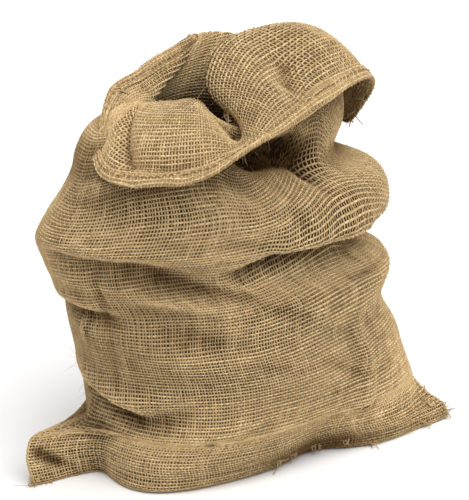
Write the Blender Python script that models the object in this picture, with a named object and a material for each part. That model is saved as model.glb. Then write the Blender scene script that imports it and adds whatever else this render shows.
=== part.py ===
"""A small burlap sack that stands open, its top folded out into an uneven cuff.

Metres, +Z up. X runs from the sack's left bottom corner to its right one, the front faces -Y, and
the sack stands on z = 0. The cloth is one sheet: a tube of woven jute, sewn flat along the bottom.
"turn" goes once round that tube, from 0 at the left side seam over 0.25 at the middle of the front and
0.5 at the right side seam. "climb" goes from 0 at the bottom seam to 1 at the hem's edge.
"""

import bmesh
import bpy
import numpy as np

# Driving sizes
CLOTH = 0.0025  # two jute yarns, one over the other
COLUMNS = 60  # faces round the tube
ROWS = 40  # faces from the bottom seam to the hem
ROW_SPACING = ((0, 0), (0.1, 0.14), (0.2, 0.25), (0.525, 0.58), (0.8, 0.90), (1, 1))  # share of rows, climb
GIRTH = 0.74  # round the flat tube
LENGTH = 0.50  # from the bottom seam to the hem
WIDEST = 12  # the widest section of the body
LEVELS = 0.58  # the climb of that section
LEVEL_TO = 0.15  # up to this climb the rows stay level, and from the next one they are evenly spaced
EVEN_FROM = 0.85
EVENED_OVER = 0.08  # the part of a turn over which that spacing is evened out
FINE_ROWS = 400  # rows on which the surface is worked out before the cloth is shared out
CENTRE = (-0.0037, 0.0147)  # the middle of the sack's box, which goes over the origin
LEFT_EAR_TOP = 0.034  # how high the left bottom corner stands
LEFT_EAR_FOOT = 0.022  # where it sticks out, front to back, on the ground
LEFT_EAR_HEAD = 0.002  # and at its top
LEFT_EAR_WIDTH = 0.011  # half its thickness, front to back
LEFT_EAR_BEND = 0.017  # how far its tip bends to the front on the ground
RIGHT_EAR_WIDTH = 0.010
RIGHT_EAR_LIFT = 0.002  # how far the right corner's tip curls up
RIGHT_EAR_ROOT = 0.135  # where that curl starts, and how long it is
RIGHT_EAR_REACH = 0.045
DRAWN_IN = 0.013  # how far the front is drawn in on the ground, right of the middle
DRAWN_AT = 0.042  # where, and how far to each side
DRAWN_WIDTH = 0.030
DRAWN_TOP = 0.055  # the height at which that ends
SET_BACK = 0.018  # how much further back the body stands than its base
SET_BACK_FROM = 0.060  # the height from which it stands so
SEAM_INSET = 0.004  # how far the bottom seam ends inside the corners' tips
FLOOR_SHARE = 0.55  # where the bottom's middle row lies, from the seam to the ground line
SHOULDER_AT = 0.35  # two places on the cuff, from its crest to its hem, that stand off by the crown
CUFF_AT = 0.7
CUFF_CROWN = 0.7  # the share of the crown at the second
CROWN_UP = 0.02  # how much the crown leans upwards
FOLD_END = 0.55  # how strong a crease is at its two ends, and over what share of it that fades in
FOLD_FADE = 0.25
FOLD_UPPER = 0.8  # its width above its line, for its width below
LIP_AT = 1.3  # how many widths above its line the lip stands

# The body, a row for each level section. left, right, front and back are how far it reaches from the
# axis; the ears are how much further the bottom corners reach; shift moves the front to the right,
# and forward brings the right end to the front.
SECTION_COLUMNS = (
    "height", "left", "right", "front", "back", "left_ear", "right_ear", "shift", "forward",
)
SECTIONS = (
    (0.000, 0.119, 0.134, 0.059, 0.088, 0.061, 0.039, -0.046, 0.037),
    (0.012, 0.122, 0.136, 0.069, 0.093, 0.059, 0.034, -0.038, 0.038),
    (0.022, 0.123, 0.141, 0.077, 0.093, 0.058, 0.018, -0.032, 0.034),
    (0.031, 0.123, 0.147, 0.082, 0.093, 0.055, 0.006, -0.026, 0.026),
    (0.037, 0.122, 0.151, 0.085, 0.093, 0.051, 0.000, -0.020, 0.019),
    (0.041, 0.121, 0.152, 0.087, 0.093, 0.008, 0.000, -0.016, 0.015),
    (0.051, 0.120, 0.152, 0.089, 0.094, 0.000, 0.000, -0.010, 0.009),
    (0.062, 0.121, 0.150, 0.089, 0.095, 0.000, 0.000, -0.005, 0.004),
    (0.078, 0.124, 0.146, 0.091, 0.096, 0.000, 0.000, 0.000, 0.000),
    (0.113, 0.132, 0.129, 0.090, 0.092, 0.000, 0.000, 0.000, 0.000),
    (0.141, 0.138, 0.139, 0.088, 0.090, 0.000, 0.000, 0.000, 0.000),
    (0.169, 0.153, 0.098, 0.084, 0.086, 0.000, 0.000, 0.000, 0.000),
    (0.190, 0.161, 0.131, 0.086, 0.084, 0.000, 0.000, 0.000, 0.000),
    (0.215, 0.143, 0.128, 0.085, 0.078, 0.000, 0.000, 0.000, 0.000),
    (0.240, 0.129, 0.084, 0.072, 0.068, 0.000, 0.000, 0.000, 0.000),
    (0.258, 0.125, 0.095, 0.058, 0.060, 0.000, 0.000, 0.000, 0.000),
    (0.272, 0.116, 0.097, 0.050, 0.055, 0.000, 0.000, 0.000, 0.000),
)

# The bottom seam on the ground, from corner to corner: where it lies front to back.
SEAM_COLUMNS = ("across", "depth")
SEAM = (
    (-1.00, 0.006), (-0.75, 0.006), (-0.50, -0.016), (0.00, -0.036),
    (0.30, -0.032), (0.70, -0.038), (1.00, -0.036),
)

# The mouth, a row for each place round it: the crest where the cloth folds outwards, the hem's edge,
# and how far the cuff between them stands up from a straight line.
MOUTH_COLUMNS = ("turn", "crest_x", "crest_y", "crest_z", "hem_x", "hem_y", "hem_z", "crown")
MOUTH = (
    (0.000, -0.068, 0.024, 0.285, -0.089, 0.041, 0.293, 0.004),
    (0.035, -0.072, 0.019, 0.285, -0.107, 0.015, 0.276, 0.007),
    (0.065, -0.072, 0.013, 0.288, -0.116, 0.006, 0.257, 0.009),
    (0.100, -0.068, 0.004, 0.291, -0.122, -0.021, 0.248, 0.011),
    (0.150, -0.057, -0.004, 0.292, -0.102, -0.055, 0.248, 0.014),
    (0.200, -0.040, -0.010, 0.291, -0.070, -0.081, 0.257, 0.008),
    (0.250, -0.020, -0.018, 0.265, -0.031, -0.084, 0.276, 0.000),
    (0.290, -0.020, -0.002, 0.282, -0.005, -0.081, 0.284, 0.010),
    (0.330, -0.016, 0.022, 0.301, 0.018, -0.077, 0.292, 0.014),
    (0.370, 0.006, 0.040, 0.318, 0.041, -0.065, 0.296, 0.016),
    (0.410, 0.057, 0.036, 0.326, 0.069, -0.044, 0.297, 0.014),
    (0.450, 0.085, 0.024, 0.317, 0.100, -0.022, 0.293, 0.005),
    (0.475, 0.091, 0.022, 0.305, 0.111, -0.006, 0.277, 0.002),
    (0.500, 0.098, 0.025, 0.295, 0.108, 0.015, 0.251, 0.002),
    (0.580, 0.098, 0.063, 0.289, 0.111, 0.072, 0.255, 0.005),
    (0.660, 0.068, 0.078, 0.299, 0.074, 0.104, 0.267, 0.005),
    (0.740, 0.038, 0.073, 0.311, 0.028, 0.101, 0.279, 0.004),
    (0.800, 0.010, 0.076, 0.315, 0.006, 0.094, 0.293, 0.003),
    (0.870, -0.004, 0.076, 0.307, -0.009, 0.076, 0.316, 0.001),
    (0.900, -0.016, 0.067, 0.299, -0.019, 0.075, 0.311, 0.002),
    (0.930, -0.037, 0.051, 0.292, -0.044, 0.064, 0.306, 0.003),
    (0.965, -0.058, 0.031, 0.286, -0.063, 0.052, 0.301, 0.003),
)


# The creases, a row for each: from one place on the cloth to another, how far its middle bows up,
# how deep it goes into the sack (minus) or stands out of it (plus), its width, how far the cloth just
# above it stands out as a lip, and how far that lip sags. On the cuff the cloth is turned over, so
# there plus makes a trough and minus a ridge.
FOLD_COLUMNS = ("turn", "climb", "to_turn", "to_climb", "bow", "depth", "width", "lip", "sag")
FOLDS = (
    # under the upper bulge, from the left side to the middle of the front
    (0.00, 0.572, 0.100, 0.550, 0.000, -0.010, 0.020, 0.003, 0.002),
    (0.10, 0.547, 0.225, 0.530, 0.000, -0.006, 0.024, 0.001, 0.000),
    # where the upper bulge fills out under the cuff
    (0.060, 0.700, 0.200, 0.695, 0.000, 0.015, 0.022, 0.000, 0.000),
    # the deep one on the right, and its branch down the middle of the front
    (0.120, 0.545, 0.215, 0.475, 0.000, -0.009, 0.019, 0.001, 0.001),
    (0.240, 0.532, 0.285, 0.557, 0.000, -0.010, 0.012, 0.002, 0.002),
    (0.275, 0.557, 0.380, 0.554, 0.003, -0.024, 0.011, 0.008, 0.009),
    (0.380, 0.552, 0.460, 0.545, 0.000, -0.010, 0.012, 0.003, 0.003),
    # the pocket under the cuff
    (0.238, 0.768, 0.345, 0.684, 0.003, -0.032, 0.011, 0.002, 0.003),
    # across the left bottom corner, which is doubled over on itself
    (0.008, 0.120, 0.042, 0.070, 0.000, -0.005, 0.006, 0.002, 0.000),
    # the left side, lower down
    (-0.03, 0.435, 0.060, 0.424, 0.000, -0.006, 0.011, 0.003, 0.002),
    (-0.02, 0.268, 0.064, 0.224, 0.000, -0.010, 0.011, 0.005, 0.003),
    (0.064, 0.224, 0.120, 0.232, -0.003, -0.006, 0.013, 0.003, 0.001),
    # the right side, lower down
    (0.36, 0.455, 0.480, 0.450, 0.000, -0.006, 0.012, 0.002, 0.002),
    # soft rolls across the front
    (0.02, 0.408, 0.030, 0.405, 0.000, 0.004, 0.018, 0.000, 0.000),
    (0.10, 0.445, 0.200, 0.420, 0.000, -0.003, 0.014, 0.001, 0.000),
    (0.130, 0.402, 0.195, 0.374, 0.000, -0.005, 0.014, 0.001, 0.000),
    (0.12, 0.345, 0.250, 0.340, 0.004, 0.004, 0.020, 0.000, 0.000),
    (0.28, 0.410, 0.380, 0.380, 0.000, 0.003, 0.018, 0.000, 0.000),
    (0.03, 0.670, 0.100, 0.665, 0.000, -0.003, 0.014, 0.000, 0.000),
    # beside the hem's band, along the cuff's left half
    (0.078, 0.885, 0.100, 0.925, 0.000, 0.007, 0.009, 0.000, 0.000),
    (0.100, 0.925, 0.124, 0.968, 0.000, 0.009, 0.009, 0.000, 0.000),
    (0.124, 0.968, 0.172, 0.974, -0.002, 0.003, 0.008, 0.000, 0.000),
    (0.172, 0.974, 0.240, 0.945, 0.000, 0.003, 0.008, 0.000, 0.000),
    # the notch between the cuff's two halves, and the trough down the right one
    (0.256, 0.895, 0.284, 0.852, 0.000, 0.010, 0.011, 0.000, 0.000),
    (0.340, 0.962, 0.380, 0.920, 0.000, 0.011, 0.014, 0.000, 0.000),
    # the back
    (0.53, 0.600, 0.700, 0.555, 0.006, -0.008, 0.013, 0.004, 0.004),
    (0.68, 0.620, 0.940, 0.600, -0.006, -0.009, 0.012, 0.005, 0.005),
    (0.58, 0.430, 0.800, 0.460, 0.008, -0.006, 0.012, 0.003, 0.002),
    (0.76, 0.330, 0.940, 0.365, 0.000, -0.006, 0.012, 0.003, 0.002),
    (0.52, 0.310, 0.660, 0.270, 0.000, -0.006, 0.012, 0.003, 0.002),
)


def column(table, names, name):
    return np.array([row[names.index(name)] for row in table])


def curve(knots, values, at):
    """A smooth curve through the values, with each slope taken from the knots on either side."""
    spans = np.diff(knots)[:, None]
    rises = np.diff(values, axis=0) / spans
    inner = (rises[:-1] * spans[1:] + rises[1:] * spans[:-1]) / (spans[:-1] + spans[1:])
    slopes = np.vstack((rises[:1], inner, rises[-1:]))
    span = np.clip(np.searchsorted(knots, at, side="right") - 1, 0, len(knots) - 2)
    width = spans[span]
    t = ((at - knots[span]) / width[:, 0])[:, None]
    start, end = values[span], values[span + 1]
    out = (2 * t**3 - 3 * t**2 + 1) * start + (t**3 - 2 * t**2 + t) * width * slopes[span]
    return out + (3 * t**2 - 2 * t**3) * end + (t**3 - t**2) * width * slopes[span + 1]


def round_the_mouth(turns):
    """The mouth's columns at each turn, on a curve that closes on itself."""
    knots = column(MOUTH, MOUTH_COLUMNS, "turn")
    values = np.array(MOUTH)[:, 1:]
    knots = np.concatenate((knots[-3:] - 1, knots, knots[:3] + 1))
    values = np.vstack((values[-3:], values, values[:3]))
    return curve(knots, values, turns % 1)


def spread_evenly(points, turns):
    """A closed ring given by many points from the left end round the front, read at even steps of
    cloth: the front half and the back half each from one side seam to the other."""
    middle = len(points) // 2
    out = np.empty((len(turns), 3))
    for half, first, last in ((turns <= 0.5, 0, middle), (turns >= 0.5, middle, len(points) - 1)):
        piece = points[first : last + 1]
        run = np.concatenate(([0], np.cumsum(np.linalg.norm(np.diff(piece, axis=0), axis=1))))
        share = (turns[half] * 2) % 1
        share[turns[half] == (0.5 if first == 0 else 1.0)] = 1.0
        for axis in range(3):
            out[half, axis] = np.interp(share * run[-1], run, piece[:, axis])
    return out


def body_ring(section, turns):
    """One level section of the body: a quarter ellipse to each side, with the bottom corners' ears."""
    size = dict(zip(SECTION_COLUMNS, section))
    places = (0, LEFT_EAR_TOP, SET_BACK_FROM)
    middle = np.interp(size["height"], places, (LEFT_EAR_FOOT, LEFT_EAR_HEAD, 0))
    first = -np.arcsin(middle / size["back" if middle > 0 else "front"])
    angle = np.concatenate((np.linspace(first, np.pi, 361), np.linspace(np.pi, first + 2 * np.pi, 361)[1:]))
    across, along = -np.cos(angle), -np.sin(angle)
    x = np.where(across < 0, size["left"], size["right"]) * across
    y = np.where(along < 0, size["front"], size["back"]) * along
    left_ear = np.exp(-(((y - middle) / LEFT_EAR_WIDTH) ** 2)) * (across < 0)
    x = x - size["left_ear"] * left_ear
    x = x + size["right_ear"] * np.exp(-((y / RIGHT_EAR_WIDTH) ** 2)) * (across > 0)
    x = x + size["shift"] * np.maximum(-along, 0) ** 2
    y = y - size["forward"] * np.maximum(across, 0) ** 3
    y = y - LEFT_EAR_BEND * max(1 - size["height"] / LEFT_EAR_TOP, 0) * left_ear
    drawn = np.exp(-(((x - DRAWN_AT) / DRAWN_WIDTH) ** 2)) * (along < 0)
    y = y + DRAWN_IN * max(1 - size["height"] / DRAWN_TOP, 0) * drawn
    rise = min(size["height"] / SET_BACK_FROM, 1)
    y = y + SET_BACK * rise**2 * (3 - 2 * rise)
    z = np.full(len(x), size["height"])
    return spread_evenly(np.stack((x, y, z), axis=1), turns)


def seam_line(base, turns):
    """The bottom seam under the sack, from the left ear's tip to the right one's and back again."""
    first = base[np.argmin(base[:, 0])]
    last = base[np.argmax(base[:, 0])]
    across = 1 - np.abs(turns * 4 - 2)
    knots = column(SEAM, SEAM_COLUMNS, "across")
    depth = curve(knots, column(SEAM, SEAM_COLUMNS, "depth")[:, None], across)[:, 0]
    middle, half = (first[0] + last[0]) / 2, (last[0] - first[0]) / 2 - SEAM_INSET
    return np.stack((middle + half * across, depth, np.zeros(len(turns))), axis=1)


def unfolded_surface(turns, climbs):
    """The cloth before its creases. Below the widest section, LEVELS of the climb, its rows lie level
    all round the body; above that each meridian is shared out evenly up to the hem."""
    rings = [body_ring(section, turns) for section in SECTIONS]
    seam = seam_line(rings[0], turns)
    mouth = round_the_mouth(turns)
    crest, hem, crown = mouth[:, 0:3], mouth[:, 3:6], mouth[:, 6:7]
    drop = hem - crest
    outwards = np.stack((drop[:, 0], drop[:, 1], np.linalg.norm(drop[:, :2], axis=1) + CROWN_UP), axis=1)
    outwards /= np.linalg.norm(outwards, axis=1)[:, None]
    shoulder = crest + SHOULDER_AT * drop + crown * outwards
    cuff = crest + CUFF_AT * drop + CUFF_CROWN * crown * outwards
    floor = seam + FLOOR_SHARE * (rings[0] - seam)
    keys = np.array([seam, floor, *rings, crest, shoulder, cuff, hem])
    steps = np.linalg.norm(np.diff(keys[:, turns < 0.5], axis=0), axis=2)
    knots = np.concatenate(([0], np.cumsum(np.median(steps, axis=1))))
    widest = knots[2 + WIDEST]
    at = np.where(
        climbs <= LEVELS,
        climbs / LEVELS * widest,
        widest + (climbs - LEVELS) / (1 - LEVELS) * (knots[-1] - widest),
    )
    out = curve(knots, keys.reshape(len(keys), -1), at).reshape(len(climbs), -1, 3)
    curl = np.clip((out[:, :, 0] - RIGHT_EAR_ROOT) / RIGHT_EAR_REACH, 0, 1)
    out[:, :, 2] = np.maximum(out[:, :, 2], 0) + RIGHT_EAR_LIFT * curl**2
    run = run_along(out)
    level = run[np.searchsorted(climbs, LEVELS)]
    above = LEVELS + (run - level) / (run[-1] - level) * (1 - LEVELS)
    return read_at(out, np.where(climbs[:, None] < LEVELS, climbs[:, None], above), climbs)


def run_along(surface):
    """How far each point is along its meridian from the bottom seam."""
    steps = np.linalg.norm(np.diff(surface, axis=0), axis=2)
    return np.vstack((np.zeros((1, surface.shape[1])), np.cumsum(steps, axis=0)))


def read_at(surface, shares, climbs):
    """The surface at the given climbs, where shares says which climb each of its points stands for."""
    out = np.empty((len(climbs), *surface.shape[1:]))
    for i in range(surface.shape[1]):
        for axis in range(3):
            out[:, i, axis] = np.interp(climbs, shares[:, i], surface[:, i, axis])
    return out


def outward(surface):
    """Unit normals of a surface given as rows and columns of points, closed round its columns."""
    ahead = np.roll(surface[:, :-1], -1, axis=1) - np.roll(surface[:, :-1], 1, axis=1)
    ahead = np.concatenate((ahead, ahead[:, :1]), axis=1)
    up = np.gradient(surface, axis=0)
    normal = np.cross(ahead, up)
    return normal / np.maximum(np.linalg.norm(normal, axis=2), 1e-9)[:, :, None]


def crease(fold, turns, climbs):
    """How strongly a fold acts at each point, 1 along its line: (on the line, just above the line)."""
    size = dict(zip(FOLD_COLUMNS, fold))
    across = ((turns[None, :] - size["turn"] + 0.5) % 1 - 0.5) * GIRTH
    up = (climbs[:, None] - size["climb"]) * LENGTH
    run = ((size["to_turn"] - size["turn"] + 0.5) % 1 - 0.5) * GIRTH
    rise = (size["to_climb"] - size["climb"]) * LENGTH
    long = np.hypot(run, rise) + 1e-9
    along = (across * run + up * rise) / long**2
    side = (up * run - across * rise) / long
    side = side - size["bow"] * (1 - (2 * np.clip(along, 0, 1) - 1) ** 2)
    past = np.maximum(np.abs(along - 0.5) - 0.5, 0) * long
    inside = np.clip(np.minimum(along, 1 - along) / FOLD_FADE, 0, 1)
    reach = size["width"]
    fade = np.exp(-((past / reach) ** 2)) * (FOLD_END + (1 - FOLD_END) * inside)
    on = np.exp(-((side / np.where(side > 0, FOLD_UPPER * reach, reach)) ** 2)) * fade
    above = np.exp(-(((side - LIP_AT * reach) / reach) ** 2)) * fade
    return on, above


def cloth_surface(turns, climbs):
    """The cloth's outer face: an array of points, a row for each climb and a column for each turn."""
    fine = np.linspace(0, 1, FINE_ROWS + 1)
    surface = unfolded_surface(turns, fine)
    normal = outward(surface)
    for fold in FOLDS:
        size = dict(zip(FOLD_COLUMNS, fold))
        on, above = crease(fold, turns, fine)
        surface = surface + normal * (size["depth"] * on + size["lip"] * above)[:, :, None]
        surface[:, :, 2] -= size["sag"] * above
    surface[:, :, 2] = np.maximum(surface[:, :, 2], 0)
    run = run_along(surface)
    apart = (turns[:, None] - turns[None, :-1] + 0.5) % 1 - 0.5
    weights = np.exp(-((apart / EVENED_OVER) ** 2))
    even = run[:, :-1] / run[-1, :-1] @ (weights / weights.sum(axis=1)[:, None]).T
    evenly = np.clip((fine - LEVEL_TO) / (EVEN_FROM - LEVEL_TO), 0, 1)[:, None]
    shares = (1 - evenly) * fine[:, None] + evenly * even
    return read_at(surface, shares, climbs) - np.array((*CENTRE, 0))


def make_sack(name):
    """The bag as one closed shell: a flat grid laid on the surface, sewn up and given its thickness."""
    turns = np.linspace(0, 1, COLUMNS + 1)
    climbs = np.interp(np.linspace(0, 1, ROWS + 1), *zip(*ROW_SPACING))
    surface = cloth_surface(turns, climbs)
    shape = bmesh.new()
    bmesh.ops.create_grid(shape, x_segments=COLUMNS, y_segments=ROWS, size=1.0)
    for vert in shape.verts:
        place = surface[round((vert.co.y + 1) / 2 * ROWS), round((vert.co.x + 1) / 2 * COLUMNS)]
        vert.co = place
    bmesh.ops.remove_doubles(shape, verts=shape.verts, dist=1e-5)
    mesh = bpy.data.meshes.new(name)
    shape.to_mesh(mesh)
    shape.free()
    sack = bpy.data.objects.new(name, mesh)
    bpy.context.collection.objects.link(sack)
    wall = sack.modifiers.new("thickness", "SOLIDIFY")
    wall.thickness = CLOTH
    wall.offset = -1
    return sack


def jute(name):
    material = bpy.data.materials.new(name)
    material.use_nodes = True
    surface = material.node_tree.nodes["Principled BSDF"]
    surface.inputs["Base Color"].default_value = (0.46, 0.33, 0.17, 1)
    surface.inputs["Roughness"].default_value = 0.95
    return material


for old in list(bpy.data.objects):
    bpy.data.objects.remove(old, do_unlink=True)

sack_cloth = make_sack("sack_cloth")
sack_cloth.data.materials.append(jute("jute"))
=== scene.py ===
"""A small burlap sack that stands open, its top folded out into an uneven cuff: its looks."""

import bmesh
import bpy
import numpy as np
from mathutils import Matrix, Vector


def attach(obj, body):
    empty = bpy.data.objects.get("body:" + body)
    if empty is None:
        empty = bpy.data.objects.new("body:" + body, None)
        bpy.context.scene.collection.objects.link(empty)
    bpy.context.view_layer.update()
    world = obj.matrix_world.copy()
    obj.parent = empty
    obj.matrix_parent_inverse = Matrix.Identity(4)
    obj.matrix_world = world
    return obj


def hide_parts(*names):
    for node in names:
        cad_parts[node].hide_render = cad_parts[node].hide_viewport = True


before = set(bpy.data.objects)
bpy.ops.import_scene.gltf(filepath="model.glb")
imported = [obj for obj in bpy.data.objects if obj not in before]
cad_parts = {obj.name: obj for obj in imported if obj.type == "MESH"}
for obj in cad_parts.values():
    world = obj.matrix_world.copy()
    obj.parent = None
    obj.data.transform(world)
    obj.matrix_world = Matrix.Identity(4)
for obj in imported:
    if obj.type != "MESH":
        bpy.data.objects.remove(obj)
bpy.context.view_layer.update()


# ---- The cloth ----
# One piece of plain-woven jute, sewn into a tube down the sides and across the bottom, with a hem
# turned in and sewn down at its top. It hangs in deep creases under its own weight. This thin sheet
# stands in the middle of the weave and shows as the shade between the yarns.

# Driving sizes, in metres, or as shares of the way round the sack (turn) and up it (climb)
GIRTH = 0.74  # round the flat tube
LENGTH = 0.50  # from the bottom seam to the hem
WIDEST = 12  # the widest section of the body
LEVELS = 0.58  # the climb of that section
LEVEL_TO = 0.15  # up to this climb the rows stay level, and from the next one they are evenly spaced
EVEN_FROM = 0.85
EVENED_OVER = 0.08  # the part of a turn over which that spacing is evened out
FINE_ROWS = 400  # rows on which the surface is worked out before the cloth is shared out
CENTRE = (-0.0037, 0.0147)  # the middle of the sack's box, which goes over the origin
LEFT_EAR_TOP = 0.034  # how high the left bottom corner stands
LEFT_EAR_FOOT = 0.022  # where it sticks out, front to back, on the ground
LEFT_EAR_HEAD = 0.002  # and at its top
LEFT_EAR_WIDTH = 0.011  # half its thickness, front to back
LEFT_EAR_BEND = 0.017  # how far its tip bends to the front on the ground
RIGHT_EAR_WIDTH = 0.010
RIGHT_EAR_LIFT = 0.002  # how far the right corner's tip curls up
RIGHT_EAR_ROOT = 0.135  # where that curl starts, and how long it is
RIGHT_EAR_REACH = 0.045
DRAWN_IN = 0.013  # how far the front is drawn in on the ground, right of the middle
DRAWN_AT = 0.042  # where, and how far to each side
DRAWN_WIDTH = 0.030
DRAWN_TOP = 0.055  # the height at which that ends
SET_BACK = 0.018  # how much further back the body stands than its base
SET_BACK_FROM = 0.060  # the height from which it stands so
SEAM_INSET = 0.004  # how far the bottom seam ends inside the corners' tips
FLOOR_SHARE = 0.55  # where the bottom's middle row lies, from the seam to the ground line
SHOULDER_AT = 0.35  # two places on the cuff, from its crest to its hem, that stand off by the crown
CUFF_AT = 0.7
CUFF_CROWN = 0.7  # the share of the crown at the second
CROWN_UP = 0.02  # how much the crown leans upwards
FOLD_END = 0.55  # how strong a crease is at its two ends, and over what share of it that fades in
FOLD_FADE = 0.25
FOLD_UPPER = 0.8  # its width above its line, for its width below
LIP_AT = 1.3  # how many widths above its line the lip stands

# The body, a row for each level section. left, right, front and back are how far it reaches from the
# axis; the ears are how much further the bottom corners reach; shift moves the front to the right,
# and forward brings the right end to the front.
SECTION_COLUMNS = (
    "height", "left", "right", "front", "back", "left_ear", "right_ear", "shift", "forward",
)
SECTIONS = (
    (0.000, 0.119, 0.134, 0.059, 0.088, 0.061, 0.039, -0.046, 0.037),
    (0.012, 0.122, 0.136, 0.069, 0.093, 0.059, 0.034, -0.038, 0.038),
    (0.022, 0.123, 0.141, 0.077, 0.093, 0.058, 0.018, -0.032, 0.034),
    (0.031, 0.123, 0.147, 0.082, 0.093, 0.055, 0.006, -0.026, 0.026),
    (0.037, 0.122, 0.151, 0.085, 0.093, 0.051, 0.000, -0.020, 0.019),
    (0.041, 0.121, 0.152, 0.087, 0.093, 0.008, 0.000, -0.016, 0.015),
    (0.051, 0.120, 0.152, 0.089, 0.094, 0.000, 0.000, -0.010, 0.009),
    (0.062, 0.121, 0.150, 0.089, 0.095, 0.000, 0.000, -0.005, 0.004),
    (0.078, 0.124, 0.146, 0.091, 0.096, 0.000, 0.000, 0.000, 0.000),
    (0.113, 0.132, 0.129, 0.090, 0.092, 0.000, 0.000, 0.000, 0.000),
    (0.141, 0.138, 0.139, 0.088, 0.090, 0.000, 0.000, 0.000, 0.000),
    (0.169, 0.153, 0.098, 0.084, 0.086, 0.000, 0.000, 0.000, 0.000),
    (0.190, 0.161, 0.131, 0.086, 0.084, 0.000, 0.000, 0.000, 0.000),
    (0.215, 0.143, 0.128, 0.085, 0.078, 0.000, 0.000, 0.000, 0.000),
    (0.240, 0.129, 0.084, 0.072, 0.068, 0.000, 0.000, 0.000, 0.000),
    (0.258, 0.125, 0.095, 0.058, 0.060, 0.000, 0.000, 0.000, 0.000),
    (0.272, 0.116, 0.097, 0.050, 0.055, 0.000, 0.000, 0.000, 0.000),
)

# The bottom seam on the ground, from corner to corner: where it lies front to back.
SEAM_COLUMNS = ("across", "depth")
SEAM = (
    (-1.00, 0.006), (-0.75, 0.006), (-0.50, -0.016), (0.00, -0.036),
    (0.30, -0.032), (0.70, -0.038), (1.00, -0.036),
)

# The mouth, a row for each place round it: the crest where the cloth folds outwards, the hem's edge,
# and how far the cuff between them stands up from a straight line.
MOUTH_COLUMNS = ("turn", "crest_x", "crest_y", "crest_z", "hem_x", "hem_y", "hem_z", "crown")
MOUTH = (
    (0.000, -0.068, 0.024, 0.285, -0.089, 0.041, 0.293, 0.004),
    (0.035, -0.072, 0.019, 0.285, -0.107, 0.015, 0.276, 0.007),
    (0.065, -0.072, 0.013, 0.288, -0.116, 0.006, 0.257, 0.009),
    (0.100, -0.068, 0.004, 0.291, -0.122, -0.021, 0.248, 0.011),
    (0.150, -0.057, -0.004, 0.292, -0.102, -0.055, 0.248, 0.014),
    (0.200, -0.040, -0.010, 0.291, -0.070, -0.081, 0.257, 0.008),
    (0.250, -0.020, -0.018, 0.265, -0.031, -0.084, 0.276, 0.000),
    (0.290, -0.020, -0.002, 0.282, -0.005, -0.081, 0.284, 0.010),
    (0.330, -0.016, 0.022, 0.301, 0.018, -0.077, 0.292, 0.014),
    (0.370, 0.006, 0.040, 0.318, 0.041, -0.065, 0.296, 0.016),
    (0.410, 0.057, 0.036, 0.326, 0.069, -0.044, 0.297, 0.014),
    (0.450, 0.085, 0.024, 0.317, 0.100, -0.022, 0.293, 0.005),
    (0.475, 0.091, 0.022, 0.305, 0.111, -0.006, 0.277, 0.002),
    (0.500, 0.098, 0.025, 0.295, 0.108, 0.015, 0.251, 0.002),
    (0.580, 0.098, 0.063, 0.289, 0.111, 0.072, 0.255, 0.005),
    (0.660, 0.068, 0.078, 0.299, 0.074, 0.104, 0.267, 0.005),
    (0.740, 0.038, 0.073, 0.311, 0.028, 0.101, 0.279, 0.004),
    (0.800, 0.010, 0.076, 0.315, 0.006, 0.094, 0.293, 0.003),
    (0.870, -0.004, 0.076, 0.307, -0.009, 0.076, 0.316, 0.001),
    (0.900, -0.016, 0.067, 0.299, -0.019, 0.075, 0.311, 0.002),
    (0.930, -0.037, 0.051, 0.292, -0.044, 0.064, 0.306, 0.003),
    (0.965, -0.058, 0.031, 0.286, -0.063, 0.052, 0.301, 0.003),
)


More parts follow.
